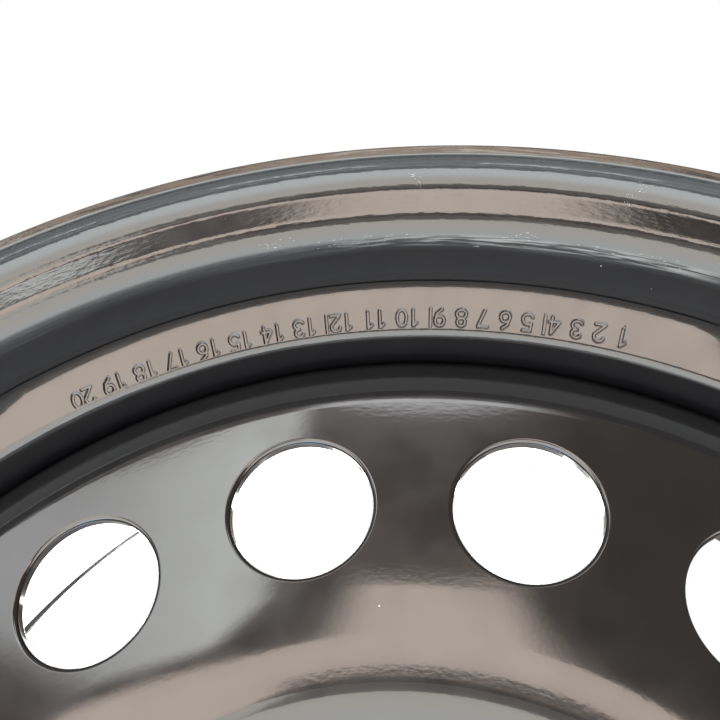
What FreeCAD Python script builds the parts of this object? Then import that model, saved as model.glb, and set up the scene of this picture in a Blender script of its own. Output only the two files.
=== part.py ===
"""Steel car wheel, 17 x 7 inch: a rolled rim, a pressed disc and the welds that join them.

Millimetres. The wheel turns about the Y axis and stands upright, +Z up. The origin is the wheel's
centre, on the axis and midway between the two flanges. Outboard, the street side, is -Y.
A section is drawn as (axial, radial) pairs: axial is the distance outboard of the wheel's centre plane.
"""

import FreeCAD
import Part
import math
import os

from FreeCAD import Vector

# Rim: rolled from one strip
BEAD_SEAT_DIAMETER = 436.6
RIM_WIDTH = 177.8
RIM_THICKNESS = 2.8
FLANGE_HEIGHT = 17.8
FLANGE_LEAN_DEG = 8.0
FLANGE_CURL_RADIUS = 9.5
FLANGE_LIP_WIDTH = 12.5
FLANGE_LIP_DROOP_DEG = 12.0
BEAD_CORNER_RADIUS = 6.5
BEAD_SEAT_TAPER_DEG = 5.0
HUMP_FOOT_SPAN = 16.9
HUMP_CREST_SPAN = 23.6
HUMP_RISE = 1.2
HUMP_FOOT_RADIUS = 8.0
HUMP_CREST_RADIUS = 3.6
WELL_DEPTH = 17.3
WELL_WALL_LEAN_DEG = 8.0
WELL_WIDTH = 46.0
WELL_CORNER_RADIUS = 3.0
WELL_CORNER_UNDERSIDE_RADIUS = 2.5
WELL_RAMP_RUN = 19.0
WELL_RAMP_RISE = 10.5
WELL_RAMP_RADIUS = 9.0
INBOARD_CREST_SPAN = 21.4
INBOARD_HUMP_RUN = 5.5
INBOARD_HUMP_RADIUS = 6.0
STRIP_EDGE_ROUND = 0.6
VALVE_HOLE_DIAMETER = 11.3
VALVE_HOLE_RISE = 6.6
VALVE_HOLE_ANGLE_DEG = 180.0

# Disc: pressed from one sheet
DISC_THICKNESS = 3.6
OFFSET = 41.0
HUB_BORE_DIAMETER = 65.1
HUB_COLLAR_HEIGHT = 15.0
HUB_COLLAR_BEND_RADIUS = 3.0
HUB_FLAT_DIAMETER = 158.0
HUB_BEND_RADIUS = 10.0
CROWN_RISE = 22.4
CROWN_SLOPE_DEG = 50.0
CROWN_BEND_RADIUS = 22.0
DOME_RADIUS = 130.0
DOME_FALL_DEG = 8.5
DOME_CORNER_DIAMETER = 240.0
SHOULDER_RADIUS = 10.0
DISC_FLANGE_EDGE = 28.0
SHEET_EDGE_ROUND = 0.5
SCALLOP_COUNT = 4
SCALLOP_DEPTH = 12.0
SCALLOP_RADIUS = 120.0

# Vent holes: pierced square to the face, their street-side edge coined round
VENT_COUNT = 16
VENT_CIRCLE_DIAMETER = 304.2
VENT_DIAMETER = 38.5
VENT_EDGE_RADIUS = 1.3

# Stud holes: embossed bosses with a 60 degree cone for the wheel nut
STUD_COUNT = 5
STUD_CIRCLE_DIAMETER = 110.0
STUD_HOLE_DIAMETER = 15.0
STUD_BOSS_DIAMETER = 30.0
STUD_BOSS_TOP_DIAMETER = 26.0
STUD_BOSS_HEIGHT = 3.0
STUD_SEAT_ANGLE_DEG = 60.0
STUD_SEAT_LAND = 2.0

# Welds: fillets along the disc flange's edge, between its scallops
WELD_LEG = 6.0
WELD_EDGE_SHOW = 0.4
WELD_ARC_DEG = 32.0
WELD_TOE_ROUND = 0.3
WELD_CROWN_RADIUS = 2.2

AXIS = Vector(0, 1, 0)
ORIGIN = Vector(0, 0, 0)
CUT_REACH = 40.0

BEAD_SEAT_RADIUS = BEAD_SEAT_DIAMETER / 2
FLANGE_PLANE = RIM_WIDTH / 2
WELL_RADIUS = BEAD_SEAT_RADIUS - WELL_DEPTH
DISC_SEAT_RADIUS = WELL_RADIUS - RIM_THICKNESS
HUB_FRONT = OFFSET + DISC_THICKNESS
CROWN_FRONT = HUB_FRONT + CROWN_RISE


def tan_deg(angle):
    return math.tan(math.radians(angle))


def cos_deg(angle):
    return math.cos(math.radians(angle))


def heading(angle):
    """Unit (axial, radial) direction, the angle counted from outboard towards the tread."""
    return math.cos(math.radians(angle)), math.sin(math.radians(angle))


def moved(point, direction, distance):
    return point[0] + direction[0] * distance, point[1] + direction[1] * distance


def crossing(first, first_run, second, second_run):
    """Where two lines of the section meet."""
    span = (second[0] - first[0], second[1] - first[1])
    turn = first_run[0] * second_run[1] - first_run[1] * second_run[0]
    return moved(first, first_run, (span[0] * second_run[1] - span[1] * second_run[0]) / turn)


def run_between(first, second):
    length = math.hypot(second[0] - first[0], second[1] - first[1])
    return (second[0] - first[0]) / length, (second[1] - first[1]) / length


def turn_at(before, corner, after):
    """Signed turn at a corner in radians, positive to the left."""
    arriving = run_between(before, corner)
    leaving = run_between(corner, after)
    cross = arriving[0] * leaving[1] - arriving[1] * leaving[0]
    return math.atan2(cross, arriving[0] * leaving[0] + arriving[1] * leaving[1])


def sheet_outline(corners, thickness, edge_round, back_radii):
    """Closed outline of a bent sheet from its face's corners (axial, radial, bend radius).

    The sheet lies to the right of the corners in their order. Both sides of a bend share one centre,
    except where back_radii gives the back a radius of its own, by the corner's number.
    """
    points = [corner[:2] for corner in corners]
    runs = [run_between(first, second) for first, second in zip(points, points[1:])]
    inward = [(run[1], -run[0]) for run in runs]
    face = [(points[0], edge_round)]
    back = [(moved(points[0], inward[0], thickness), edge_round)]
    for index in range(1, len(points) - 1):
        radius = corners[index][2]
        turn = turn_at(points[index - 1], points[index], points[index + 1])
        before = moved(points[index], inward[index - 1], thickness)
        after = moved(points[index], inward[index], thickness)
        back_point = crossing(before, runs[index - 1], after, runs[index])
        face.append((points[index], radius))
        back.append((back_point, back_radii.get(index, radius + math.copysign(thickness, turn))))
    face.append((points[-1], edge_round))
    back.append((moved(points[-1], inward[-1], thickness), edge_round))
    return face + back[::-1]


def in_plane(point):
    """A section's (axial, radial) point in the half plane above the axis."""
    return Vector(0, -point[0], point[1])


def rounded_wire(outline):
    """Closed wire round the outline's corners, each replaced by an arc of its radius."""
    stops = []
    for index, (corner, radius) in enumerate(outline):
        before = outline[index - 1][0]
        after = outline[(index + 1) % len(outline)][0]
        half_turn = abs(turn_at(before, corner, after)) / 2
        start = moved(corner, run_between(corner, before), radius * math.tan(half_turn))
        end = moved(corner, run_between(corner, after), radius * math.tan(half_turn))
        chord_middle = ((start[0] + end[0]) / 2, (start[1] + end[1]) / 2)
        middle = moved(corner, run_between(corner, chord_middle), radius / math.cos(half_turn) - radius)
        stops.append((in_plane(start), in_plane(middle), in_plane(end)))
    edges = []
    for index, (start, middle, end) in enumerate(stops):
        following = stops[(index + 1) % len(stops)][0]
        edges.append(Part.Arc(start, middle, end).toShape())
        edges.append(Part.LineSegment(end, following).toShape())
    return Part.Wire(edges)


def turned(outline, angle=360.0):
    """Solid of revolution of a section about the wheel's axis."""
    return Part.Face(rounded_wire(outline)).revolve(ORIGIN, AXIS, angle)


def pattern(shape, count, first_angle):
    """Copies spaced evenly about the axis."""
    copies = []
    for index in range(count):
        copy = shape.copy()
        copy.rotate(ORIGIN, AXIS, first_angle + 360.0 * index / count)
        copies.append(copy)
    return copies


def seat_radius(axial):
    """Radius of the tapered bead seat at a distance from the centre plane."""
    return BEAD_SEAT_RADIUS - (FLANGE_PLANE - axial) * tan_deg(BEAD_SEAT_TAPER_DEG)


HUMP_FOOT_AXIAL = FLANGE_PLANE - HUMP_FOOT_SPAN
HUMP_FOOT = (HUMP_FOOT_AXIAL, seat_radius(HUMP_FOOT_AXIAL))
HUMP_CREST = (FLANGE_PLANE - HUMP_CREST_SPAN, HUMP_FOOT[1] + HUMP_RISE)
WELL_CORNER_AXIAL = HUMP_CREST[0] - (HUMP_CREST[1] - WELL_RADIUS) * tan_deg(WELL_WALL_LEAN_DEG)


def flange_corners():
    """Hump foot, bead corner, curl and lip edge of the outboard side, on the tyre's face."""
    curl_centre = (FLANGE_PLANE + FLANGE_CURL_RADIUS / cos_deg(FLANGE_LEAN_DEG),
                   BEAD_SEAT_RADIUS + FLANGE_HEIGHT - FLANGE_CURL_RADIUS)
    wall_point = (FLANGE_PLANE, curl_centre[1])
    wall_run = heading(90 - FLANGE_LEAN_DEG)
    lip_run = heading(-FLANGE_LIP_DROOP_DEG)
    lip_start = moved(curl_centre, heading(90 - FLANGE_LIP_DROOP_DEG), FLANGE_CURL_RADIUS)
    lip_length = (FLANGE_PLANE + FLANGE_LIP_WIDTH - lip_start[0]) / lip_run[0]
    bead_corner = crossing(HUMP_FOOT, heading(BEAD_SEAT_TAPER_DEG), wall_point, wall_run)
    return [
        (*HUMP_FOOT, HUMP_FOOT_RADIUS),
        (*bead_corner, BEAD_CORNER_RADIUS),
        (*crossing(wall_point, wall_run, lip_start, lip_run), FLANGE_CURL_RADIUS),
        (*moved(lip_start, lip_run, lip_length), 0.0),
    ]


def make_rim():
    flange = flange_corners()
    inboard_flange = [(-axial, radial, radius) for axial, radial, radius in reversed(flange)]
    inboard_crest_axial = INBOARD_CREST_SPAN - FLANGE_PLANE
    well_end_axial = WELL_CORNER_AXIAL - WELL_WIDTH
    well_corners = [
        (inboard_crest_axial, HUMP_CREST[1], INBOARD_HUMP_RADIUS),
        (inboard_crest_axial + INBOARD_HUMP_RUN, HUMP_FOOT[1], INBOARD_HUMP_RADIUS),
        (well_end_axial - WELL_RAMP_RUN, WELL_RADIUS + WELL_RAMP_RISE, WELL_RAMP_RADIUS),
        (well_end_axial, WELL_RADIUS, WELL_RAMP_RADIUS),
        (WELL_CORNER_AXIAL, WELL_RADIUS, WELL_CORNER_RADIUS),
        (*HUMP_CREST, HUMP_CREST_RADIUS),
    ]
    corners = inboard_flange + well_corners + flange
    well_corner_number = len(inboard_flange) + len(well_corners) - 2
    back_radii = {well_corner_number: WELL_CORNER_UNDERSIDE_RADIUS}
    rim = turned(sheet_outline(corners, RIM_THICKNESS, STRIP_EDGE_ROUND, back_radii))
    return rim.cut(valve_hole_cutter())


def valve_hole_cutter():
    """Pin through the well's outboard wall, square to it."""
    wall_axial = WELL_CORNER_AXIAL + VALVE_HOLE_RISE * tan_deg(WELL_WALL_LEAN_DEG)
    square = heading(-WELL_WALL_LEAN_DEG)
    start = moved((wall_axial, WELL_RADIUS + VALVE_HOLE_RISE), square, -CUT_REACH / 2)
    pin = Part.makeCylinder(VALVE_HOLE_DIAMETER / 2, CUT_REACH, in_plane(start), in_plane(square))
    return pattern(pin, 1, VALVE_HOLE_ANGLE_DEG)[0]


def disc_corners():
    """The disc's street side, from the flange's edge to the collar's end."""
    fall = heading(180 - 90 + DOME_FALL_DEG)
    dome_corner = (CROWN_FRONT, DOME_CORNER_DIAMETER / 2)
    shoulder = crossing(dome_corner, fall, (DISC_FLANGE_EDGE, DISC_SEAT_RADIUS), heading(0))
    hub_bend = (HUB_FRONT, HUB_FLAT_DIAMETER / 2)
    crown = (CROWN_FRONT, hub_bend[1] + CROWN_RISE / tan_deg(CROWN_SLOPE_DEG))
    collar_radius = HUB_BORE_DIAMETER / 2 + DISC_THICKNESS
    return [
        (DISC_FLANGE_EDGE, DISC_SEAT_RADIUS, 0.0),
        (*shoulder, SHOULDER_RADIUS),
        (*dome_corner, DOME_RADIUS),
        (*crown, CROWN_BEND_RADIUS),
        (*hub_bend, HUB_BEND_RADIUS),
        (HUB_FRONT, collar_radius, HUB_COLLAR_BEND_RADIUS),
        (OFFSET + HUB_COLLAR_HEIGHT, collar_radius, 0.0),
    ]


def vent_centre():
    """Middle of a vent hole on the face's straight fall outside the dome."""
    radial = VENT_CIRCLE_DIAMETER / 2
    return CROWN_FRONT - (radial - DOME_CORNER_DIAMETER / 2) * tan_deg(DOME_FALL_DEG), radial


def vent_cutter():
    square = heading(DOME_FALL_DEG)
    start = moved(vent_centre(), square, -CUT_REACH / 2)
    return Part.makeCylinder(VENT_DIAMETER / 2, CUT_REACH, in_plane(start), in_plane(square))


def is_vent_edge(edge, centres):
    """Whether an edge runs round a vent hole on the street side."""
    corner = edge.Vertexes[0].Point
    reaches = [corner.distanceToPoint(centre) for centre in centres]
    return abs(min(reaches) - VENT_DIAMETER / 2) < DISC_THICKNESS / 10


def stud_boss():
    base = in_plane((HUB_FRONT, STUD_CIRCLE_DIAMETER / 2))
    return Part.makeCone(STUD_BOSS_DIAMETER / 2, STUD_BOSS_TOP_DIAMETER / 2, STUD_BOSS_HEIGHT, base, -AXIS)


def stud_cutter():
    """A stud hole and the cone above it."""
    seat_axial = OFFSET + STUD_SEAT_LAND
    cone_height = HUB_FRONT + STUD_BOSS_HEIGHT - seat_axial
    hole_radius = STUD_HOLE_DIAMETER / 2
    top_radius = hole_radius + cone_height * tan_deg(STUD_SEAT_ANGLE_DEG / 2)
    hole_start = in_plane((OFFSET - CUT_REACH / 2, STUD_CIRCLE_DIAMETER / 2))
    seat_start = in_plane((seat_axial, STUD_CIRCLE_DIAMETER / 2))
    hole = Part.makeCylinder(hole_radius, CUT_REACH, hole_start, -AXIS)
    seat = Part.makeCone(hole_radius, top_radius, cone_height, seat_start, -AXIS)
    return hole.fuse(seat)


def scallop_cutter():
    """Broad bite out of the disc flange's edge, the way a squarish blank leaves it."""
    centre_axial = DISC_FLANGE_EDGE + SCALLOP_DEPTH - SCALLOP_RADIUS
    start = in_plane((centre_axial, DISC_SEAT_RADIUS - CUT_REACH / 2))
    return Part.makeCylinder(SCALLOP_RADIUS, CUT_REACH, start, Vector(0, 0, 1))


def make_disc():
    disc = turned(sheet_outline(disc_corners(), DISC_THICKNESS, SHEET_EDGE_ROUND, {}))
    disc = disc.cut(pattern(scallop_cutter(), SCALLOP_COUNT, 0.0))
    disc = disc.cut(pattern(vent_cutter(), VENT_COUNT, 180.0 / VENT_COUNT))
    centre = Part.Vertex(in_plane(vent_centre()))
    centres = [copy.Point for copy in pattern(centre, VENT_COUNT, 180.0 / VENT_COUNT)]
    vent_edges = [edge for edge in disc.Edges if is_vent_edge(edge, centres)]
    disc = disc.makeFillet(VENT_EDGE_RADIUS, vent_edges)
    disc = disc.fuse(pattern(stud_boss(), STUD_COUNT, 0.0))
    return disc.cut(pattern(stud_cutter(), STUD_COUNT, 0.0)).removeSplitter()


def make_welds():
    """One fillet in each stretch of flange between two scallops."""
    outline = [
        ((DISC_FLANGE_EDGE, DISC_SEAT_RADIUS), 0.01),
        ((DISC_FLANGE_EDGE, DISC_SEAT_RADIUS - DISC_THICKNESS + WELD_EDGE_SHOW), WELD_TOE_ROUND),
        ((DISC_FLANGE_EDGE - WELD_LEG / 2, DISC_SEAT_RADIUS - DISC_THICKNESS + WELD_EDGE_SHOW), WELD_CROWN_RADIUS),
        ((DISC_FLANGE_EDGE - WELD_LEG, DISC_SEAT_RADIUS), WELD_TOE_ROUND),
    ]
    bead = turned(outline, WELD_ARC_DEG)
    return pattern(bead, SCALLOP_COUNT, 180.0 / SCALLOP_COUNT - WELD_ARC_DEG / 2)


os.makedirs("parts", exist_ok=True)
make_rim().exportStep("parts/rim.step")
make_disc().exportStep("parts/disc.step")
Part.makeCompound(make_welds()).exportStep("parts/weld_beads.step")
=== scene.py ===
import math

import bpy
import numpy as np
from mathutils import Matrix, Vector


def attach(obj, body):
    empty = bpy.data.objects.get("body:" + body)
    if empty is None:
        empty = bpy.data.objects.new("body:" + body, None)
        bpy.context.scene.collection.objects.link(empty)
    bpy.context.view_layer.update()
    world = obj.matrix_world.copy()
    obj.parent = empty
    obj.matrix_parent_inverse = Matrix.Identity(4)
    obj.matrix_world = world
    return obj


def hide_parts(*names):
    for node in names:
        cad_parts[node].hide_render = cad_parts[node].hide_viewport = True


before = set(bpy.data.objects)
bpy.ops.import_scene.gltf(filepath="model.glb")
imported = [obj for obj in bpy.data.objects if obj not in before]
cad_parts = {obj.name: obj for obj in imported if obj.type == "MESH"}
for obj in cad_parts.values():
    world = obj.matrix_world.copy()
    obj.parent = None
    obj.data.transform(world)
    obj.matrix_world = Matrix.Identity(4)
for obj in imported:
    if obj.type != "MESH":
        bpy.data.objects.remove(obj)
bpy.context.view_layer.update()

# Sections are (axial, radial) in millimetres: axial is the distance outboard of the wheel's centre plane.
# Angles go clockwise from the top as the wheel is seen from the street side.
MM = 0.001

# Rim
RIM_THICKNESS = 2.8
BEAD_SEAT_RADIUS = 218.3
FLANGE_PLANE = 88.9
FLANGE_HEIGHT = 17.8
FLANGE_LEAN = 8.0
FLANGE_CURL = 9.5
FLANGE_LIP_WIDTH = 12.5
FLANGE_LIP_DROOP = 12.0
BEAD_CORNER = 6.5
BEAD_SEAT_TAPER = 5.0
HUMP_FOOT_SPAN = 16.9
HUMP_CREST_SPAN = 23.6
HUMP_RISE = 1.2
HUMP_FOOT_RADIUS = 8.0
HUMP_CREST_RADIUS = 3.6
CREST_UNDERSIDE_RADIUS = 0.3
WELL_RADIUS = 201.0
WELL_WALL_LEAN = 8.0
WELL_WIDTH = 46.0
WELL_CORNER_RADIUS = 3.0
WELL_UNDERSIDE_RADIUS = 2.5
WELL_RAMP_RUN = 19.0
WELL_RAMP_RISE = 10.5
WELL_RAMP_RADIUS = 9.0
INBOARD_CREST_SPAN = 21.4
INBOARD_HUMP_RUN = 5.5
INBOARD_HUMP_RADIUS = 6.0
STRIP_EDGE = 0.6
VALVE_ANGLE = 180.0
VALVE_RADIAL = 207.6
VALVE_HOLE_RADIUS = 5.65
VALVE_EDGE = 0.3
VALVE_COLUMNS = 4

# Disc
DISC_THICKNESS = 3.6
OFFSET = 41.0
BORE_RADIUS = 32.55
COLLAR_HEIGHT = 15.0
HUB_FLAT_RADIUS = 79.0
CROWN_RISE = 22.4
CROWN_SLOPE = 50.0
CROWN_BEND = 22.0
HUB_BEND = 10.0
COLLAR_BEND = 3.0
SHOULDER_RADIUS = 7.0
BROW_PLACE = 186.0
BROW_RADIUS = 26.0
BROW_FALL = 32.0
DOME_RADIUS = 130.0
DOME_FALL = 8.5
DOME_CORNER = 120.0
FLANGE_EDGE = 28.0
SCALLOPS = 4
SCALLOP_DEPTH = 12.0
SCALLOP_RADIUS = 120.0
VENTS = 16
VENT_CIRCLE = 152.1
VENT_RADIUS = 19.25
VENT_EDGE = 1.3
VENT_BACK_EDGE = 0.35
VENT_COLUMNS = 13
STUDS = 5
STUD_CIRCLE = 55.0
STUD_HOLE = 7.5
STUD_BOSS = 15.0
STUD_BOSS_TOP = 13.0
STUD_BOSS_HEIGHT = 3.0
STUD_LAND = 2.0
STUD_CONE = 30.0
STUD_BOSS_FOOT = 1.5
STUD_BOSS_BEND = 0.8
STUD_CONE_BEND = 0.4
STUD_BEND_ROWS = 4
STUD_EDGE = 0.3
STUD_COLUMNS = 26

# Welds
WELD_ARC = 32.0
WELD_LEG = 5.6
WELD_EDGE_LEG = 3.2
WELD_RIPPLE = 0.55
WELD_RUN_IN = 1.6
WELD_START = 0.02
WELD_RIPPLE_LEAN = 0.35
WELD_RIPPLE_DEPTH = 0.09
WELD_STEPS = 240
WELD_SPOKES = 12
WELD_BULGE = 1.5

# Stamp
STAMP_HEIGHT = 4.8
STAMP_FOOT = 5.6
STAMP_CLIMB = 0.04
STAMP_PITCH = 3.45
STAMP_GAP = 2.7
STAMP_LAST = 20
STAMP_BARS = (4, 9, 12)
STAMP_START = 16.6
STAMP_FROM = -35.0
STAMP_TO = 24.0
STAMP_FLOOR = 0.34
STAMP_WALL = 0.14
STAMP_DEPTH = 0.65
STAMP_BACK = 0.7
STAMP_LEAN = 3.0
STAMP_FADE = 3.0
STAMP_STEP = 0.14
STAMP_LIP = 0.03
STAMP_LIP_PLACE = 0.12
STAMP_LIP_WIDTH = 0.14
STAMP_MARGIN = 0.6
STAMP_MIDDLE = 3.5
STAMP_LIFT = 0.01
STAMP_PLAIN_ROWS = 8
STAMP_BEFORE = 1.5
STAMP_AFTER = 1.0
STAMP_BACK_MARGIN = 1.0
BAR_SHARE = 0.35
PRESS = 0.8
PRESS_SWAY = 0.25
PRESS_TURN = 2.4

# Scuffs
SCUFF_SEED = 7
SCUFF_LIFT = 0.03
SCUFF_LENGTHS = (0.3, 1.0)
SCUFF_BREADTHS = (0.05, 0.13)
SCUFF_TURNS = (-25, 25)
SCUFF_CORNERS = (-0.3, 0.3)
ROW_PITCH = 1.2

# Paint: ripple in metres, grain in waves to the metre or the radian, colours
RIM_RIPPLE = 0.000035
STAMP_RIPPLE = 0.000006
DISC_RIPPLE = 0.000006
ROLLED_GRAIN = 950.0
ROLLED_TURN = 80.0
BRUSHED_GRAIN = 2200.0
BRUSHED_TURN = 26.0
BRUSHED_SHARE = 0.18
TONE_GRAIN = 90.0
TONE_RANGE = (0.3, 0.7)
PAINT_ROUGHNESS = (0.12, 0.2)
PAINT_DARK = (0.006, 0.0063, 0.0085)
PAINT_LIGHT = (0.0095, 0.0095, 0.0105)
SPECK = (0.55, 0.55, 0.52)
SPECK_GRAIN = 140.0
SPECK_SIZE = 0.035
SPECK_SHARE = 0.12
PRIMER_GRAIN = 900.0
PRIMER_ROUGHNESS = (0.4, 0.6)
PRIMER_DARK = (0.45, 0.46, 0.47)
PRIMER_LIGHT = (0.75, 0.76, 0.77)

# Worn places on the rim: colours, and limits in metres, in radians of the turn or, for streaks, of a noise
RUBBED = (0.16, 0.17, 0.17)
RUBBED_AXIAL = (0.0844, 0.0858, 0.0868, 0.0882)
RUBBED_RADIUS = (0.2172, 0.2176)
RUBBED_TURN = (-0.22, 0.1, 0.33, 0.4)
RUBBED_STREAK = (0.42, 0.62)
CHAFED = (0.08, 0.062, 0.05)
CHAFED_RADIUS = (0.2332, 0.2338)
CHAFED_AXIAL = (0.09, 0.1)
CHAFED_STREAK = (0.36, 0.56)
DUST = (0.045, 0.05, 0.053)
DUSTY_RADIUS = (0.2308, 0.2322, 0.2333, 0.2337)
DUSTY_AXIAL = (0.0932, 0.0936)
DULL_RADIUS = (0.2128, 0.2136, 0.2162, 0.217)
DULL_AXIAL = (0.0655, 0.0665, 0.087, 0.0885)
DULL_SHARE = 0.9
WORN_ROUGHNESS = 0.35

# Light: distances in metres, bearings and heights in degrees, with two or four limits
FLOOR_SIZE = 12.0
FLOOR_GLOW = 3.2
FLOOR_DIM = 0.45
FLOOR_DIM_FROM = (1.35, 1.55)
FLOOR_DIM_BEARING = (-11, -8)
FLOOR_SHADE = 0.35
FLOOR_SHADE_FROM = (0.15, 0.3)
FLOOR_SEEN = 0.92
FLOOR_FAR_FROM = (0.3, 0.8)
FLOOR_LEFT_SIDE = (-0.11, -0.05)
FLOOR_LEFT_REACH = (0.3, 0.5)
FLOOR_NEAR = (0.96, 0.99, 0.98)
FLOOR_FAR = (1.0, 0.95, 0.87)
FLOOR_LEFT = (1.05, 1.22, 1.5)
LAMP_GLOW = 28.0
BACK_LAMPS = (((-0.005, 0.2, 0.118), (0.19, 0.2)), ((-0.14, 0.13, 0.137), (0.08, 0.09)))
TAN = (4.4, 3.75, 3.25)
STRIP = (4.4, 4.4, 4.4)
WINDOW_FAR = (2.7, 2.75, 2.7)
WINDOW_NEAR = (4.4, 4.5, 4.35)
DARK_LEFT = (0.46, 0.39, 0.35)
DARK_RIGHT = (0.24, 0.2, 0.16)
DARK_BEARING = (-10, 16)
BOARD_HEIGHT = (3.9, 4.9, 12.8, 13.8)
BOARD_MIDDLE = -2.0
BOARD_BEND = 0.016
WINDOW_SIDES = (-87, -72, -26.2, -22.2)
WINDOW_SIDE_SLOPE = 0.2
WINDOW_FOOT = (12, 16)
WINDOW_TOP = (50.2, 51.8)
WINDOW_TOP_SLOPE = 0.6
WINDOW_TURN = (-42, -22)
STRIP_HEIGHT = (38.6, 40.2, 44, 47)
STRIP_BEARING = (-22, -12, 6, 20)
GABLE_BEARING = (-12.5, -6.5, 5.0, 12.0)
GABLE_HEIGHT = (4.0, 6.5, 25.5, 28)
SKIRTING_BEARING = (-40, -34, -13, -10.5)
SKIRTING_TOP = (9, 12)

# The photograph's camera
CAMERA_PLACE = (9.7, -259.1, 95.2)
CAMERA_YAW = 7.3
CAMERA_PITCH = 26.0
CAMERA_ROLL = 2.6
CAMERA_LENS = 38.5
CAMERA_SENSOR = 36.0
CAMERA_CLIP = 0.01

# Fineness of the meshes
COLUMNS = 420
ARC_STEP = 16.0
FINE_STEP = 4.5
WALL_CORNER_ROWS = 12
WALL_SHARES = (0.03, 0.2, 0.4, 0.6, 0.8, 0.97)
FACE_ROWS = 20
VENT_ROWS = 20
HUB_ROWS = 14
FRONT_EDGE_POINTS = 7
BACK_EDGE_POINTS = 4
SURFACE_TRIES = 12

HUB_FRONT = OFFSET + DISC_THICKNESS
CROWN_FRONT = HUB_FRONT + CROWN_RISE
SEAT_RADIUS = WELL_RADIUS - RIM_THICKNESS


def heading(angle):
    return np.array([math.cos(math.radians(angle)), math.sin(math.radians(angle))])


def tan_deg(angle):
    return math.tan(math.radians(angle))


def crossing(first, first_run, second, second_run):
    return first + first_run * np.linalg.solve(np.array([first_run, -second_run]).T, second - first)[0]


def unit(vector):
    return vector / np.linalg.norm(vector)


def turn_at(before, corner, after):
    arriving, leaving = unit(corner - before), unit(after - corner)
    return math.atan2(arriving[0] * leaving[1] - arriving[1] * leaving[0], arriving @ leaving)


def sheet_outline(corners, thickness, edge_round, back_radii):
    """Closed outline of a bent sheet on the right of its face's corners (axial, radial, radius)."""
    points = [np.array(corner[:2]) for corner in corners]
    runs = [unit(q - p) for p, q in zip(points, points[1:])]
    inward = [np.array([run[1], -run[0]]) * thickness for run in runs]
    face = [(points[0], edge_round)]
    back = [(points[0] + inward[0], edge_round)]
    for k in range(1, len(points) - 1):
        turn = turn_at(points[k - 1], points[k], points[k + 1])
        corner = crossing(points[k] + inward[k - 1], runs[k - 1], points[k] + inward[k], runs[k])
        face.append((points[k], corners[k][2]))
        back.append((corner, back_radii.get(k, corners[k][2] + math.copysign(thickness, turn))))
    face.append((points[-1], edge_round))
    back.append((points[-1] + inward[-1], edge_round))
    return face + back[::-1]


def corner_rows(before, corner, after, radius, rows):
    """Points and right-hand normals along the arc that rounds a corner."""
    turn = turn_at(before, corner, after)
    run = unit(corner - before)
    right = np.array([run[1], -run[0]])
    start = corner - run * radius * math.tan(abs(turn) / 2)
    side = math.copysign(1.0, turn)
    steps = np.linspace(0.0, turn, (rows or max(2, math.ceil(math.degrees(abs(turn)) / ARC_STEP))) + 1)
    normals = np.stack([right[0] * np.cos(steps) - right[1] * np.sin(steps),
                        right[0] * np.sin(steps) + right[1] * np.cos(steps)], axis=1)
    return start - right * radius * side + normals * radius * side, normals


def section_rows(outline, arc_rows, line_shares):
    """Points and outward normals round a closed outline, and each corner's first row."""
    points, normals, starts = [], [], []
    for k, (corner, radius) in enumerate(outline):
        before, after = outline[k - 1][0], outline[(k + 1) % len(outline)][0]
        arc, arc_normals = corner_rows(before, corner, after, radius, arc_rows.get(k))
        starts.append(sum(len(p) for p in points))
        points.append(arc)
        normals.append(arc_normals)
        if k in line_shares:
            next_corner, next_radius = outline[(k + 1) % len(outline)]
            next_after = outline[(k + 2) % len(outline)][0]
            end = corner_rows(corner, next_corner, next_after, next_radius, 2)[0][0]
            shares = np.array(line_shares[k])[:, None]
            points.append(arc[-1] + shares * (end - arc[-1]))
            normals.append(np.repeat(arc_normals[-1:], len(shares), axis=0))
    return np.vstack(points), -np.vstack(normals), starts


def place(section, angle):
    """Millimetres in the row frame of section points (axial, radial) at an angle in degrees."""
    section, turn = np.asarray(section, float), np.radians(angle)
    axial, radial = section[..., 0], section[..., 1]
    return np.stack([radial * np.sin(turn), -axial + 0 * turn, radial * np.cos(turn)], axis=-1)


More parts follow.
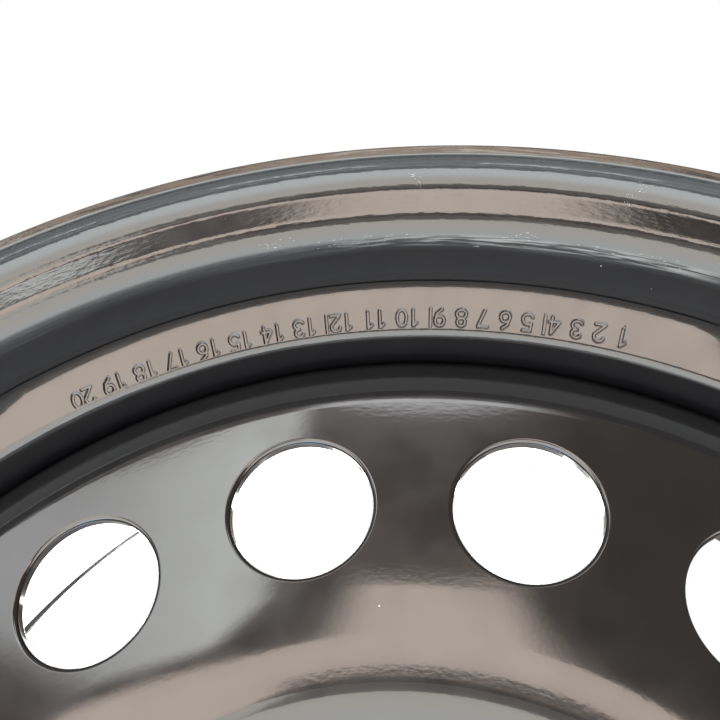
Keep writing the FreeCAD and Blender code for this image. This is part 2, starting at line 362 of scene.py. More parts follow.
class Shell:
    """Closed sheet turned about the axis, with holes let into it."""

    def __init__(self, points, normals):
        self.section, self.section_normals = points, normals
        angles = np.arange(COLUMNS) * 360.0 / COLUMNS
        self.points = [place(points[:, None, :], angles[None, :]).reshape(-1, 3)]
        self.normals = [place(normals[:, None, :], angles[None, :]).reshape(-1, 3)]
        self.count = len(points) * COLUMNS
        self.open = np.ones((len(points), COLUMNS), bool)
        self.faces = []

    def index(self, row, column):
        return (row % len(self.section)) * COLUMNS + column % COLUMNS

    def add(self, points, normals):
        self.points.append(points)
        self.normals.append(normals)
        self.count += len(points)
        return np.arange(self.count - len(points), self.count)

    def window(self, rows, first, last):
        """Boundary of a patch taken out of the grid: rows run outwards from the axis, columns clockwise."""
        low, high = min(rows[0], rows[-1]), max(rows[0], rows[-1])
        columns = list(range(first, last + 1))
        for column in columns[:-1]:
            self.open[low:high, column % COLUMNS] = False
        loop = [(rows[0], c) for c in columns[:-1]] + [(r, columns[-1]) for r in rows[:-1]]
        loop += [(rows[-1], c) for c in columns[:0:-1]] + [(r, columns[0]) for r in rows[:0:-1]]
        return np.array([self.index(r, c) for r, c in loop])

    def hole(self, centre, lean, angle, width, sides, profiles, rings):
        """A hole at a section point, its axis leaning towards the tread.

        sides and profiles give the street side first, then the back.
        """
        turn = math.radians(angle)
        out = np.array([math.sin(turn), 0.0, math.cos(turn)])
        across = np.array([math.cos(turn), 0.0, -math.sin(turn)])
        street = np.array([0.0, -1.0, 0.0])
        axis = math.cos(math.radians(lean)) * street + math.sin(math.radians(lean)) * out
        along = math.cos(math.radians(lean)) * out - math.sin(math.radians(lean)) * street
        middle = place(np.array(centre), angle)
        column = round(angle / 360.0 * COLUMNS)
        grid = np.vstack(self.points)
        loops, bearing = [], None
        for side, rows in enumerate(sides):
            loop = self.window(rows, column - width, column + width)
            away = grid[loop] - middle
            if bearing is None:
                bearing = np.arctan2(away @ across, away @ along)
            spoke = np.cos(bearing)[:, None] * along + np.sin(bearing)[:, None] * across
            reach = np.hypot(away @ across, away @ along)
            order = rows if self.section[rows[0], 1] < self.section[rows[-1], 1] else rows[::-1]
            table = self.section[order]
            table_normals = self.section_normals[order] * (1 if side == 0 else -1)

            def on_surface(distance, height):
                rise = np.zeros(len(bearing))
                for _ in range(SURFACE_TRIES):
                    point = middle + distance[:, None] * spoke + rise[:, None] * axis
                    radial = np.hypot(point[:, 0], point[:, 2])
                    rise -= -point[:, 1] - np.interp(radial, table[:, 1], table[:, 0])
                tilt = [np.interp(radial, table[:, 1], table_normals[:, k]) for k in (0, 1)]
                tilt = np.stack(tilt, axis=1)
                outward = np.stack([point[:, 0] / radial, 0 * radial, point[:, 2] / radial], axis=1)
                normal = tilt[:, :1] * street + tilt[:, 1:] * outward
                return point + height * axis, normal / np.linalg.norm(normal, axis=1, keepdims=True)

            profile = profiles[side]
            edge = profile[0] if side == 0 else profile[-1]
            spread = []
            for share in np.linspace(0, 1, rings + 2)[1:-1]:
                point, normal = on_surface(reach + (edge[0] - reach) * share, 0.0)
                spread.append(self.add(point, normal if side == 0 else -normal))
            turned = []
            for distance, height, spoke_part, axis_part in profile:
                point, normal = on_surface(np.full(len(bearing), distance), height)
                turned.append(self.add(point, spoke_part * spoke + axis_part * normal))
            loops += [loop, *spread, *turned] if side == 0 else [*turned, *spread[::-1], loop]
        for inner, outer in zip(loops, loops[1:]):
            self.faces += np.stack([inner, np.roll(inner, -1), np.roll(outer, -1), outer], axis=1).tolist()

    def finish(self, name):
        rows, columns = np.nonzero(self.open)
        low, high = rows * COLUMNS, (rows + 1) % len(self.section) * COLUMNS
        beside = (columns + 1) % COLUMNS
        quads = np.stack([low + columns, low + beside, high + beside, high + columns], axis=1)
        faces = quads.tolist() + self.faces
        return new_object(name, np.vstack(self.points), faces, np.vstack(self.normals))


def new_object(name, points, faces, normals, keep=True):
    """Mesh in millimetres, its faces turned to agree with the normals, which shade it if kept."""
    points, normals = np.asarray(points, float), np.asarray(normals, float)
    normals = normals / np.linalg.norm(normals, axis=1, keepdims=True)
    faces = np.asarray(faces)
    corner = points[faces]
    facing = np.cross(corner[:, 2] - corner[:, 0], corner[:, 3] - corner[:, 1])
    wrong = (facing * normals[faces].mean(axis=1)).sum(axis=1) < 0
    faces[wrong] = faces[wrong][:, ::-1]
    mesh = bpy.data.meshes.new(name)
    mesh.from_pydata((points * MM).tolist(), [], faces.tolist())
    mesh.polygons.foreach_set("use_smooth", [True] * len(mesh.polygons))
    mesh.update()
    if keep:
        mesh.normals_split_custom_set_from_vertices(normals.tolist())
    piece = bpy.data.objects.new(name, mesh)
    bpy.context.scene.collection.objects.link(piece)
    return piece


# Rim
hump_foot = np.array([FLANGE_PLANE - HUMP_FOOT_SPAN,
                      BEAD_SEAT_RADIUS - HUMP_FOOT_SPAN * tan_deg(BEAD_SEAT_TAPER)])
hump_crest = np.array([FLANGE_PLANE - HUMP_CREST_SPAN, hump_foot[1] + HUMP_RISE])
well_axial = hump_crest[0] - (hump_crest[1] - WELL_RADIUS) * tan_deg(WELL_WALL_LEAN)
well_end = well_axial - WELL_WIDTH
curl_centre = np.array([FLANGE_PLANE + FLANGE_CURL / math.cos(math.radians(FLANGE_LEAN)),
                        BEAD_SEAT_RADIUS + FLANGE_HEIGHT - FLANGE_CURL])
wall_point = np.array([FLANGE_PLANE, curl_centre[1]])
wall_run, lip_run = heading(90 - FLANGE_LEAN), heading(-FLANGE_LIP_DROOP)
lip_start = curl_centre + heading(90 - FLANGE_LIP_DROOP) * FLANGE_CURL
lip_edge = lip_start + lip_run * (FLANGE_PLANE + FLANGE_LIP_WIDTH - lip_start[0]) / lip_run[0]
flange = [
    (*hump_foot, HUMP_FOOT_RADIUS),
    (*crossing(hump_foot, heading(BEAD_SEAT_TAPER), wall_point, wall_run), BEAD_CORNER),
    (*crossing(wall_point, wall_run, lip_start, lip_run), FLANGE_CURL),
    (*lip_edge, 0.0),
]
inboard_crest = INBOARD_CREST_SPAN - FLANGE_PLANE
rim_corners = [(-axial, radial, radius) for axial, radial, radius in reversed(flange)] + [
    (inboard_crest, hump_crest[1], INBOARD_HUMP_RADIUS),
    (inboard_crest + INBOARD_HUMP_RUN, hump_foot[1], INBOARD_HUMP_RADIUS),
    (well_end - WELL_RAMP_RUN, WELL_RADIUS + WELL_RAMP_RISE, WELL_RAMP_RADIUS),
    (well_end, WELL_RADIUS, WELL_RAMP_RADIUS),
    (well_axial, WELL_RADIUS, WELL_CORNER_RADIUS),
    (*hump_crest, HUMP_CREST_RADIUS),
] + flange
# Numbers of corners in that list. The same corner on the sheet's other side is last_rim minus its number
WELL, CREST, FOOT, BEAD, CURL = 8, 9, 10, 11, 12
last_rim = 2 * len(rim_corners) - 1
underside_radii = {WELL: WELL_UNDERSIDE_RADIUS, CREST: CREST_UNDERSIDE_RADIUS}
rim_outline = sheet_outline(rim_corners, RIM_THICKNESS, STRIP_EDGE, underside_radii)
bend_rows = {last_rim - k: math.ceil(90 / FINE_STEP) for k in (FOOT, BEAD, CURL)}
for k in (WELL, CREST, last_rim - WELL, last_rim - CREST):
    bend_rows[k] = WALL_CORNER_ROWS
rim_rows, rim_normals, rim_starts = section_rows(
    rim_outline, bend_rows, {WELL: WALL_SHARES, last_rim - CREST: WALL_SHARES})
rim_shell = Shell(rim_rows, rim_normals)
half = WALL_CORNER_ROWS // 2
street_wall = list(range(rim_starts[last_rim - CREST] + half, rim_starts[last_rim - WELL] + half + 1))
tyre_wall = list(range(rim_starts[WELL] + half, rim_starts[CREST] + half + 1))
valve_axial = well_axial + (VALVE_RADIAL - WELL_RADIUS) * tan_deg(WELL_WALL_LEAN)
valve_point = np.array([valve_axial, VALVE_RADIAL])


def round_edges(radius, front_edge, back_edge):
    """Edge profiles of a hole pierced through a sheet, street side and back.

    Each point is its distance, its height, and its normal along the spoke and the axis.
    """
    front, back = [], []
    for t in np.linspace(0, math.pi / 2, FRONT_EDGE_POINTS):
        sine, cosine = math.sin(t), math.cos(t)
        front.append((radius + front_edge * (1 - sine), -front_edge * (1 - cosine), -sine, cosine))
    for t in np.linspace(0, math.pi / 2, BACK_EDGE_POINTS):
        sine, cosine = math.sin(t), math.cos(t)
        back.append((radius + back_edge * (1 - cosine), back_edge * (1 - sine), -cosine, -sine))
    return front, back


rim_shell.hole(valve_point, -WELL_WALL_LEAN, VALVE_ANGLE, VALVE_COLUMNS, (street_wall[::-1], tyre_wall),
               round_edges(VALVE_HOLE_RADIUS, VALVE_EDGE, VALVE_EDGE), rings=2)

# Disc
dome_corner = np.array([CROWN_FRONT, DOME_CORNER])
brow = np.array([CROWN_FRONT - (BROW_PLACE - DOME_CORNER) * tan_deg(DOME_FALL), BROW_PLACE])
shoulder = crossing(brow, heading(90 + BROW_FALL), np.array([FLANGE_EDGE, SEAT_RADIUS]), heading(0))
collar_radius = BORE_RADIUS + DISC_THICKNESS
disc_corners = [
    (FLANGE_EDGE, SEAT_RADIUS, 0.0),
    (*shoulder, SHOULDER_RADIUS),
    (*brow, BROW_RADIUS),
    (*dome_corner, DOME_RADIUS),
    (CROWN_FRONT, HUB_FLAT_RADIUS + CROWN_RISE / tan_deg(CROWN_SLOPE), CROWN_BEND),
    (HUB_FRONT, HUB_FLAT_RADIUS, HUB_BEND),
    (HUB_FRONT, collar_radius, COLLAR_BEND),
    (OFFSET + COLLAR_HEIGHT, collar_radius, 0.0),
]
SHOULDER, BROW, DOME, CROWN, HUB, COLLAR = 1, 2, 3, 4, 5, 6
last_disc = 2 * len(disc_corners) - 1
hub_shares = np.linspace(0, 1, HUB_ROWS + 2)[1:-1]
face_shares = np.linspace(0, 1, FACE_ROWS + 2)[1:-1]
disc_rows, disc_normals, disc_starts = section_rows(
    sheet_outline(disc_corners, DISC_THICKNESS, STRIP_EDGE, {}),
    {SHOULDER: 12, BROW: 6, DOME: 4, CROWN: 8},
    {BROW: face_shares, last_disc - DOME: face_shares, HUB: hub_shares, last_disc - COLLAR: hub_shares})
disc_shell = Shell(disc_rows, disc_normals)

# The flange is cut back in broad scallops between the welds
grid = disc_shell.points[0]
around = np.degrees(np.arctan2(grid[:, 0], grid[:, 2]))
off_scallop = np.radians((around + 180 / SCALLOPS) % (360 / SCALLOPS) - 180 / SCALLOPS)
aside = np.minimum(np.abs(SEAT_RADIUS * np.sin(off_scallop)), SCALLOP_RADIUS - 1)
sagitta = SCALLOP_RADIUS - np.sqrt(SCALLOP_RADIUS ** 2 - aside ** 2)
edge = FLANGE_EDGE + np.maximum(0.0, SCALLOP_DEPTH - sagitta)
flange_top = shoulder[0] - SHOULDER_RADIUS
near_seat = np.hypot(grid[:, 0], grid[:, 2]) > SEAT_RADIUS - 2 * DISC_THICKNESS
on_flange = near_seat & (-grid[:, 1] < flange_top)
stretched = flange_top - (flange_top + grid[:, 1]) * (flange_top - edge) / (flange_top - FLANGE_EDGE)
grid[on_flange, 1] = -stretched[on_flange]

vent_point = np.array([CROWN_FRONT - (VENT_CIRCLE - DOME_CORNER) * tan_deg(DOME_FALL), VENT_CIRCLE])
face_front = list(range(disc_starts[DOME], disc_starts[DOME] - VENT_ROWS, -1))
face_back_start = disc_starts[last_disc - DOME + 1] - FACE_ROWS - 1
face_back = list(range(face_back_start, face_back_start + VENT_ROWS))
for k in range(VENTS):
    disc_shell.hole(vent_point, DOME_FALL, (k + 0.5) * 360 / VENTS, VENT_COLUMNS, (face_front, face_back),
                    round_edges(VENT_RADIUS, VENT_EDGE, VENT_BACK_EDGE), rings=3)


def boss_profiles():
    """Stud boss with its cone on the street side, and the hole's edge on the hub side."""
    cone_height = DISC_THICKNESS - STUD_LAND + STUD_BOSS_HEIGHT
    cone_top = STUD_HOLE + cone_height * tan_deg(STUD_CONE)
    path = [(STUD_BOSS + STUD_BOSS_FOOT, 0.0, 0), (STUD_BOSS, 0.0, STUD_BOSS_BEND),
            (STUD_BOSS_TOP, STUD_BOSS_HEIGHT, STUD_BOSS_BEND), (cone_top, STUD_BOSS_HEIGHT, STUD_EDGE),
            (STUD_HOLE, STUD_BOSS_HEIGHT - cone_height, STUD_CONE_BEND),
            (STUD_HOLE, STUD_EDGE - DISC_THICKNESS, 0)]
    points = [np.array(step[:2]) for step in path]
    front = [(STUD_BOSS + STUD_BOSS_FOOT, 0.0, 0.0, 1.0)]
    for k in range(1, len(path) - 1):
        arc, normals = corner_rows(*points[k - 1:k + 2], path[k][2], STUD_BEND_ROWS)
        front += [(*point, *normal) for point, normal in zip(arc, normals)]
    return front, round_edges(STUD_HOLE, STUD_EDGE, STUD_EDGE)[1]


hub_front = list(range(disc_starts[COLLAR], disc_starts[COLLAR] - HUB_ROWS - 2, -1))
hub_back_end = disc_starts[last_disc - COLLAR + 1] + 1
hub_back = list(range(hub_back_end - HUB_ROWS - 2, hub_back_end))
for k in range(STUDS):
    disc_shell.hole(np.array([HUB_FRONT, STUD_CIRCLE]), 0.0, k * 360 / STUDS, STUD_COLUMNS,
                    (hub_front, hub_back), boss_profiles(), rings=2)

disc = disc_shell.finish("pressed_disc")


# Stamped row of plain numbers on the well's wall, tops towards the hub
def arc(cx, cy, rx, ry, start, end, steps=16):
    angles = np.radians(np.linspace(start, end, steps + 1))
    return np.stack([cx + rx * np.cos(angles), cy + ry * np.sin(angles)], axis=1).tolist()


STROKES = {
    "0": [arc(0.28, 0.5, 0.28, 0.5, 0, 360)],
    "1": [[(0.1, 0.8), (0.32, 1.0), (0.32, 0.0)]],
    "2": [arc(0.28, 0.72, 0.27, 0.28, 165, -35) + [(0.02, 0.0), (0.56, 0.0)]],
    "3": [arc(0.27, 0.76, 0.25, 0.24, 150, -90), arc(0.27, 0.26, 0.28, 0.26, 90, -150)],
    "4": [[(0.42, 0.0), (0.42, 1.0), (0.0, 0.3), (0.56, 0.3)]],
    "5": [[(0.5, 1.0), (0.08, 1.0), (0.05, 0.56)] + arc(0.26, 0.32, 0.29, 0.32, 125, -150)],
    "6": [arc(0.28, 0.3, 0.27, 0.3, 0, 360), [(0.02, 0.38), (0.13, 0.76), (0.42, 1.0)]],
    "7": [[(0.0, 1.0), (0.56, 1.0), (0.2, 0.0)]],
    "8": [arc(0.28, 0.76, 0.23, 0.24, 0, 360), arc(0.28, 0.27, 0.28, 0.27, 0, 360)],
    "9": [arc(0.28, 0.7, 0.27, 0.3, 0, 360), [(0.54, 0.62), (0.44, 0.25), (0.15, 0.0)]],
    "|": [[(0.1, -0.05), (0.1, 1.1)]],
}


def stroke_distance(along, up, strokes):
    nearest = np.full(along.shape, np.inf)
    for stroke in strokes:
        for (x0, y0), (x1, y1) in zip(stroke, stroke[1:]):
            length = max((x1 - x0) ** 2 + (y1 - y0) ** 2, 1e-9)
            share = np.clip(((along - x0) * (x1 - x0) + (up - y0) * (y1 - y0)) / length, 0, 1)
            off_x = along - x0 - share * (x1 - x0)
            off_y = up - y0 - share * (y1 - y0)
            nearest = np.minimum(nearest, np.hypot(off_x, off_y))
    return nearest


def groove(distance):
    """Depth of a stamped stroke with a flat floor, and the lip it raises, by distance from its middle."""
    wall = np.clip((STAMP_FLOOR + STAMP_WALL - distance) / STAMP_WALL, 0, 1)
    off_lip = distance - STAMP_FLOOR - STAMP_WALL - STAMP_LIP_PLACE
    lip = np.exp(-(off_lip / STAMP_LIP_WIDTH) ** 2)
    return -STAMP_DEPTH * wall * wall * (3 - 2 * wall) + STAMP_LIP * lip


def make_stamp():
    top = rim_rows[rim_starts[last_rim - CREST] + WALL_CORNER_ROWS]
    bottom = rim_rows[rim_starts[last_rim - WELL]]
    square = rim_normals[rim_starts[last_rim - WELL]]
    length = np.linalg.norm(top - bottom)
    highest = STAMP_FOOT + STAMP_CLIMB * STAMP_START + STAMP_MARGIN
    fine = np.arange(0.0, highest, STAMP_STEP)
    rise = np.concatenate([fine, np.linspace(highest + 0.1, length, STAMP_PLAIN_ROWS)])
    radius = bottom[1] + STAMP_MIDDLE
    angles = np.arange(STAMP_FROM, STAMP_TO, math.degrees(STAMP_STEP / radius))
    depth = np.zeros((len(rise), len(angles)))
    across = np.radians(STAMP_START - angles) * radius
    across, height = np.meshgrid(across, (STAMP_FOOT - rise) / STAMP_HEIGHT)
    height = height + STAMP_CLIMB / STAMP_HEIGHT * angles[None, :]
    pen = 0.0
    for k in range(1, STAMP_LAST + 1):
        for mark in str(k) + ("|" if k in STAMP_BARS else ""):
            near = (across > pen - STAMP_BEFORE) & (across < pen + STAMP_PITCH + STAMP_AFTER)
            along = (across[near] - pen) / STAMP_HEIGHT
            away = stroke_distance(along, height[near], STROKES[mark]) * STAMP_HEIGHT
            hard = PRESS + PRESS_SWAY * math.sin(k * PRESS_TURN)
            depth[near] += groove(away) * (BAR_SHARE if mark == "|" else hard)
            pen += STAMP_PITCH * (BAR_SHARE if mark == "|" else 1.0)
        pen += STAMP_GAP
    section = bottom + rise[:, None] / length * (top - bottom)
    fade = np.minimum(1.0, np.minimum(angles - STAMP_FROM, STAMP_TO - angles) / STAMP_FADE)
    forward = tan_deg(STAMP_LEAN) * rise[:, None] * fade[None, :]
    section = section[:, None, :] + (depth + forward + STAMP_LIFT)[:, :, None] * square
    points = place(section, angles[None, :]).reshape(-1, 3)
    normals = place(np.broadcast_to(square, section.shape), angles[None, :]).reshape(-1, 3)
    row, column = np.meshgrid(np.arange(len(rise) - 1), np.arange(len(angles) - 1), indexing="ij")
    first = (row * len(angles) + column).ravel()
    faces = np.stack([first, first + 1, first + len(angles) + 1, first + len(angles)], axis=1)
    return new_object("stamped_wall", points, faces, normals, False)


# The rim's own wall stands back behind the stamped one
wall_rows = range(rim_starts[last_rim - CREST] + WALL_CORNER_ROWS + 1, rim_starts[last_rim - WELL])
for column in range(COLUMNS):
    angle = (column * 360.0 / COLUMNS + 180.0) % 360.0 - 180.0
    if STAMP_FROM + STAMP_BACK_MARGIN < angle < STAMP_TO - STAMP_BACK_MARGIN:
        for row in wall_rows:
            index = rim_shell.index(row, column)
            rim_shell.points[0][index] -= place(rim_normals[row], angle) * STAMP_BACK
rim = rim_shell.finish("rolled_rim")
stamp = make_stamp()


# Welds: a rippled fillet in each stretch of flange between two scallops
def make_welds():
    points, normals, faces = [], [], []
    swing = np.linspace(0, math.pi / 2, WELD_SPOKES + 1)
    for weld in range(SCALLOPS):
        middle = (weld + 0.5) * 360 / SCALLOPS
        angles = np.linspace(middle - WELD_ARC / 2, middle + WELD_ARC / 2, WELD_STEPS + 1)
        base = len(points)
        for angle in angles:
            run_in = min(1.0, (WELD_ARC / 2 - abs(angle - middle)) / WELD_RUN_IN + WELD_START)
            ripple = (angle / WELD_RIPPLE + WELD_RIPPLE_LEAN * np.sin(2 * swing)) % 1.0
            reach = (np.cos(swing) / WELD_LEG) ** WELD_BULGE + (np.sin(swing) / WELD_EDGE_LEG) ** WELD_BULGE
            reach = reach ** (-1 / WELD_BULGE)
            reach = reach * math.sqrt(run_in) * (1 - WELD_RIPPLE_DEPTH * ripple * np.sin(2 * swing))
            away = np.stack([np.cos(swing), np.sin(swing)], axis=1)
            section = np.array([FLANGE_EDGE, SEAT_RADIUS]) - reach[:, None] * away
            points += place(section, angle).tolist()
            normals += place(-away, angle).tolist()
        for row in range(WELD_STEPS):
            for k in range(WELD_SPOKES):
                first = base + row * (WELD_SPOKES + 1) + k
                faces.append([first, first + 1, first + WELD_SPOKES + 2, first + WELD_SPOKES + 1])
    return new_object("weld_fillets", points, faces, normals, False)


welds = make_welds()


# Scuffs: slivers of bared primer on the rim's street side
def make_scuffs():
    chance = np.random.default_rng(SCUFF_SEED)
    all_rows = np.arange(len(rim_rows))
    points, normals, faces = [], [], []
    for angle, angle_spread, first_row, last_row, count, longest, slant in SCUFFS:
        for _ in range(count):
            middle_angle = angle + angle_spread * chance.uniform(-1, 1)
            middle_row = chance.uniform(first_row, last_row)
            length = longest * chance.uniform(*SCUFF_LENGTHS)
            breadth = chance.uniform(*SCUFF_BREADTHS)
            lean = math.radians(slant + chance.uniform(*SCUFF_TURNS))
            one_side = chance.uniform(*SCUFF_CORNERS)
            other_side = chance.uniform(*SCUFF_CORNERS)
            base = len(points)
            for along, aside in ((-0.5, 0), (one_side, 0.5), (0.5, 0), (other_side, -0.5)):
                run = along * length * math.cos(lean) - aside * breadth * math.sin(lean)
                climb = along * length * math.sin(lean) + aside * breadth * math.cos(lean)
                row = np.clip(middle_row + climb / ROW_PITCH, 0, len(rim_rows) - 1)
                section = np.array([np.interp(row, all_rows, rim_rows[:, k]) for k in (0, 1)])
                square = unit(np.array([np.interp(row, all_rows, rim_normals[:, k]) for k in (0, 1)]))
                turn = middle_angle + math.degrees(run / section[1])
                points.append(place(section + SCUFF_LIFT * square, turn))
                normals.append(place(square, turn))
            faces.append([base, base + 1, base + 2, base + 3])
    return new_object("scuff_marks", points, faces, normals)


# Each place is its angle and spread, first and last section row, count, greatest length and slant
curl_row, bead_row = rim_starts[last_rim - CURL], rim_starts[last_rim - BEAD]
SCUFFS = (
    (0.1, 0.3, curl_row + 9, curl_row + 12, 8, 1.6, 10),
    (0.5, 0.2, curl_row + 12, curl_row + 19, 10, 0.7, 70),
    (14.9, 0.3, curl_row + 5, curl_row + 12, 12, 1.0, -50),
    (14.2, 0.3, curl_row + 13, curl_row + 19, 14, 0.8, 80),
    (8.2, 0.9, bead_row + 9, bead_row + 11, 9, 1.3, -25),
    (4.7, 0.2, bead_row + 16, bead_row + 17, 4, 1.8, 0),
    (-10.0, 1.6, bead_row + 8, bead_row + 12, 14, 1.1, 15),
    (-3.0, 5.0, bead_row + 11, bead_row + 15, 26, 1.2, 0),
    (13.0, 7.0, bead_row + 11, bead_row + 14, 16, 1.6, 0),
)
scuffs = make_scuffs()


# Materials and light are built from nodes
class Nodes:
    """Short forms for wiring a node tree. A value is a number, a colour or another node's output."""

    def __init__(self, tree):
        self.nodes, self.links = tree.nodes, tree.links

    def feed(self, socket, value):
        if isinstance(value, bpy.types.NodeSocket):
            self.links.new(value, socket)
        else:
            socket.default_value = value

    def math(self, operation, first, second=0.0):
        node = self.nodes.new("ShaderNodeMath")
        node.operation = operation
        self.feed(node.inputs[0], first)
        self.feed(node.inputs[1], second)
        return node.outputs[0]

    def times(self, *values):
        product = values[0]
        for value in values[1:]:
            product = self.math("MULTIPLY", product, value)
        return product

    def split(self, vector):
        node = self.nodes.new("ShaderNodeSeparateXYZ")
        self.feed(node.inputs[0], vector)
        return node.outputs

    def join(self, x, y, z):
        node = self.nodes.new("ShaderNodeCombineXYZ")
        for socket, value in zip(node.inputs, (x, y, z)):
            self.feed(socket, value)
        return node.outputs[0]

    def place(self, kind):
        return self.nodes.new("ShaderNodeTexCoord").outputs[kind]

    def step(self, value, start, end, low=0.0, high=1.0):
        node = self.nodes.new("ShaderNodeMapRange")
        node.interpolation_type = "SMOOTHSTEP"
        for socket, setting in zip(node.inputs, (value, start, end, low, high)):
            self.feed(socket, setting)
        return node.outputs["Result"]

    def fall(self, value, start, end):
        return self.step(value, start, end, 1.0, 0.0)

    def between(self, value, start, full, full_end, end):
        return self.times(self.step(value, start, full), self.fall(value, full_end, end))

    def along_grain(self, radius, axial, turn, waves, turn_waves):
        """Texture place whose waves are drawn out round the wheel."""
        return self.join(self.times(radius, waves), self.times(axial, waves), self.times(turn, turn_waves))

    def over(self, under, colour, mask):
        node = self.nodes.new("ShaderNodeMix")
        node.data_type = "RGBA"
        self.feed(node.inputs["Factor"], mask)
        for socket, value in ((node.inputs[6], under), (node.inputs[7], colour)):
            self.feed(socket, (*value, 1.0) if isinstance(value, tuple) else value)
        return node.outputs[2]

    def noise(self, vector, scale, detail):
        node = self.nodes.new("ShaderNodeTexNoise")
        self.feed(node.inputs["Vector"], vector)
        node.inputs["Scale"].default_value = scale
        node.inputs["Detail"].default_value = detail
        return node.outputs["Fac"]

    def speck(self, vector, scale, size, share):
        """One round speck in some of the cells of a grid."""
        node = self.nodes.new("ShaderNodeTexVoronoi")
        self.feed(node.inputs["Vector"], vector)
        node.inputs["Scale"].default_value = scale
        chosen = self.step(self.split(node.outputs["Color"])[0], 1.0 - share, 1.001 - share)
        return self.times(chosen, self.fall(node.outputs["Distance"], size * 0.6, size))

    def bearing(self, x, y):
        """Degrees to the right of straight out from the street side."""
        return self.times(self.math("ARCTAN2", x, self.times(y, -1.0)), 180 / math.pi)

    def seen(self):
        """1 where the camera looks straight at the surface, 0 in reflections."""
        return self.nodes.new("ShaderNodeLightPath").outputs["Is Camera Ray"]

    def bump(self, height, strength, distance):
        node = self.nodes.new("ShaderNodeBump")
        node.inputs["Strength"].default_value = strength
        node.inputs["Distance"].default_value = distance
        self.feed(node.inputs["Height"], height)
        return node.outputs["Normal"]


def new_material(name):
    material = bpy.data.materials.new(name)
    material.use_nodes = True
    return material, Nodes(material.node_tree), material.node_tree.nodes["Principled BSDF"].inputs


def paint(name, ripple, worn):
    """Black gloss over steel whose grain runs round the wheel. ripple is its depth in metres."""
    material, tree, shader = new_material(name)
    spot = tree.place("Object")
    x, y, z = tree.split(spot)[:3]
    radius = tree.math("SQRT", tree.math("ADD", tree.times(x, x), tree.times(z, z)))
    turn = tree.math("ARCTAN2", x, z)
    rolled = tree.along_grain(radius, y, turn, ROLLED_GRAIN, ROLLED_TURN)
    brushed = tree.along_grain(radius, y, turn, BRUSHED_GRAIN, BRUSHED_TURN)
    fine = tree.times(tree.noise(brushed, 1.0, 1.0), BRUSHED_SHARE)
    normal = tree.bump(tree.math("ADD", tree.noise(rolled, 1.0, 2.0), fine), 1.0, ripple)
    tone = tree.noise(spot, TONE_GRAIN, 3.0)
    colour = tree.over(PAINT_DARK, PAINT_LIGHT, tone)
    colour = tree.over(colour, SPECK, tree.speck(spot, SPECK_GRAIN, SPECK_SIZE, SPECK_SHARE))
    roughness = tree.step(tone, *TONE_RANGE, *PAINT_ROUGHNESS)
    coat = 1.0
    if worn:
        axial = tree.times(y, -1.0)
        streak = tree.noise(brushed, 0.8, 4.0)
        rubbed = tree.times(tree.between(axial, *RUBBED_AXIAL), tree.fall(radius, *RUBBED_RADIUS),
                            tree.between(turn, *RUBBED_TURN), tree.step(streak, *RUBBED_STREAK))
        chafed = tree.times(tree.step(radius, *CHAFED_RADIUS), tree.step(axial, *CHAFED_AXIAL),
                            tree.step(streak, *CHAFED_STREAK))
        dusty = tree.times(tree.between(radius, *DUSTY_RADIUS), tree.step(axial, *DUSTY_AXIAL))
        dull = tree.times(tree.between(radius, *DULL_RADIUS), tree.between(axial, *DULL_AXIAL))
        colour = tree.over(colour, DUST, dusty)
        colour = tree.over(colour, RUBBED, rubbed)
        colour = tree.over(colour, CHAFED, chafed)
        bared = tree.math("MAXIMUM", rubbed, chafed)
        worn_share = tree.math("MAXIMUM", bared, tree.times(dull, DULL_SHARE))
        roughness = tree.math("ADD", roughness, tree.times(worn_share, WORN_ROUGHNESS))
        coat = tree.math("SUBTRACT", 1.0, worn_share)
    tree.feed(shader["Base Color"], colour)
    tree.feed(shader["Roughness"], roughness)
    tree.feed(shader["Coat Weight"], coat)
    shader["IOR"].default_value = 1.5
    shader["Coat Roughness"].default_value = 0.04
    shader["Coat IOR"].default_value = 1.6
    tree.feed(shader["Normal"], normal)
    tree.feed(shader["Coat Normal"], normal)
    return material


def bared_primer():
    material, tree, shader = new_material("bared_primer")
    tone = tree.noise(tree.place("Object"), PRIMER_GRAIN, 2.0)
    tree.feed(shader["Base Color"], tree.over(PRIMER_DARK, PRIMER_LIGHT, tone))
    tree.feed(shader["Roughness"], tree.step(tone, *TONE_RANGE, *PRIMER_ROUGHNESS))
    return material


for piece, material, slot in ((rim, paint("rim_paint", RIM_RIPPLE, True), "rim_paint"),
                              (stamp, paint("stamp_paint", STAMP_RIPPLE, False), "rim_paint"),
                              (disc, paint("disc_paint", DISC_RIPPLE, False), "disc_paint"),
                              (welds, paint("weld_paint", RIM_RIPPLE, False), "weld_paint"),
                              (scuffs, bared_primer(), "rim_paint")):
    piece.data.materials.append(material)
    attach(piece, "root")
for piece, node in ((rim, "rim"), (disc, "disc"), (welds, "weld_beads")):
    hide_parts(node)


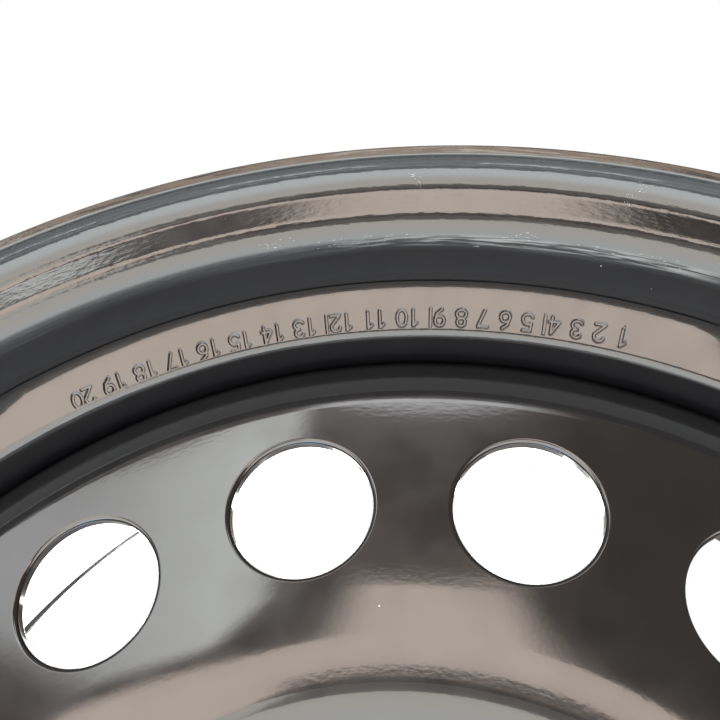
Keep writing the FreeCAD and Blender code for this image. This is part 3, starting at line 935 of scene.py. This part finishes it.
# Floor: lit near the wheel, bluish at its left, dim far right, shaded behind it, white to the camera
def lit_floor():
    material, tree, shader = new_material("lit_floor")
    x, y = tree.split(tree.place("Object"))[:2]
    away = tree.math("SQRT", tree.math("ADD", tree.times(x, x), tree.times(y, y)))
    colour = tree.over(FLOOR_NEAR, FLOOR_FAR, tree.step(away, *FLOOR_FAR_FROM))
    left = tree.times(tree.fall(x, *FLOOR_LEFT_SIDE), tree.fall(away, *FLOOR_LEFT_REACH))
    colour = tree.over(colour, FLOOR_LEFT, left)
    dim = tree.times(tree.step(away, *FLOOR_DIM_FROM), tree.step(tree.bearing(x, y), *FLOOR_DIM_BEARING))
    lit = tree.step(dim, 0.0, 1.0, FLOOR_GLOW, FLOOR_DIM)
    strength = tree.times(lit, tree.step(y, *FLOOR_SHADE_FROM, 1.0, FLOOR_SHADE / FLOOR_GLOW))
    seen = tree.seen()
    colour = tree.over(colour, (1.0, 1.0, 1.0), seen)
    strength = tree.step(seen, 0.4, 0.6, strength, FLOOR_SEEN)
    tree.feed(shader["Emission Color"], colour)
    tree.feed(shader["Emission Strength"], strength)
    shader["Base Color"].default_value = (0.5, 0.5, 0.5, 1)
    shader["Roughness"].default_value = 0.9
    return material


floor_height = -(BEAD_SEAT_RADIUS + FLANGE_HEIGHT) * MM
bpy.ops.mesh.primitive_plane_add(size=FLOOR_SIZE, location=(0, 0, floor_height))
floor = bpy.context.object
floor.name = "floor"
floor.data.materials.append(lit_floor())


# Surroundings: what the gloss mirrors, in degrees above the horizon and of bearing from straight ahead
def surroundings():
    world = bpy.data.worlds.new("surroundings")
    bpy.context.scene.world = world
    world.use_nodes = True
    tree = Nodes(world.node_tree)
    x, y, z = tree.split(tree.place("Generated"))[:3]
    height = tree.times(tree.math("ARCSINE", z), 180 / math.pi)
    bearing = tree.bearing(x, y)
    aside = tree.math("SUBTRACT", bearing, BOARD_MIDDLE)
    board = tree.math("ADD", height, tree.times(aside, aside, BOARD_BEND))
    window_side = tree.math("SUBTRACT", bearing, tree.times(height, WINDOW_SIDE_SLOPE))
    window_top = tree.math("SUBTRACT", height, tree.times(bearing, WINDOW_TOP_SLOPE))
    window = tree.times(tree.between(window_side, *WINDOW_SIDES), tree.step(height, *WINDOW_FOOT),
                        tree.fall(window_top, *WINDOW_TOP))
    window_colour = tree.over(WINDOW_FAR, WINDOW_NEAR, tree.step(bearing, *WINDOW_TURN))
    strip = tree.times(tree.between(height, *STRIP_HEIGHT), tree.between(bearing, *STRIP_BEARING))
    gable = tree.times(tree.between(bearing, *GABLE_BEARING), tree.between(height, *GABLE_HEIGHT))
    skirting = tree.times(tree.between(bearing, *SKIRTING_BEARING), tree.fall(height, *SKIRTING_TOP))
    sky = tree.over(DARK_LEFT, DARK_RIGHT, tree.step(bearing, *DARK_BEARING))
    sky = tree.over(sky, STRIP, strip)
    sky = tree.over(sky, window_colour, window)
    sky = tree.over(sky, TAN, tree.between(board, *BOARD_HEIGHT))
    sky = tree.over(sky, TAN, tree.math("MAXIMUM", gable, skirting))
    tree.feed(tree.nodes["Background"].inputs["Color"], tree.over(sky, (1.0, 1.0, 1.0), tree.seen()))


surroundings()

# Lamps behind the wheel light the inside of the rim. Each is (place, size) in metres
for number, (spot, size) in enumerate(BACK_LAMPS):
    lamp_data = bpy.data.lights.new(f"back_lamp_{number}", "AREA")
    lamp_data.shape = "RECTANGLE"
    lamp_data.size, lamp_data.size_y = size
    lamp_data.energy = LAMP_GLOW * size[0] * size[1]
    lamp = bpy.data.objects.new(f"back_lamp_{number}", lamp_data)
    lamp.location = spot
    lamp.rotation_euler = (-math.pi / 2, 0.0, 0.0)
    bpy.context.scene.collection.objects.link(lamp)

# Camera
camera_data = bpy.data.cameras.new("camera")
camera_data.sensor_width = CAMERA_SENSOR
camera_data.lens = CAMERA_LENS
camera_data.clip_start = CAMERA_CLIP
camera = bpy.data.objects.new("camera", camera_data)
bpy.context.scene.collection.objects.link(camera)
yaw = Matrix.Rotation(math.radians(CAMERA_YAW), 3, "Y")
pitch = Matrix.Rotation(math.radians(CAMERA_PITCH), 3, "X")
roll = Matrix.Rotation(math.radians(CAMERA_ROLL), 3, "Z")
upright = Matrix(((1, 0, 0), (0, 0, -1), (0, 1, 0)))
turned = upright @ yaw @ pitch @ roll
camera.matrix_world = Matrix.Translation(Vector(CAMERA_PLACE) * MM) @ turned.to_4x4()
bpy.context.scene.camera = camera
bpy.context.scene.view_settings.view_transform = "Standard"
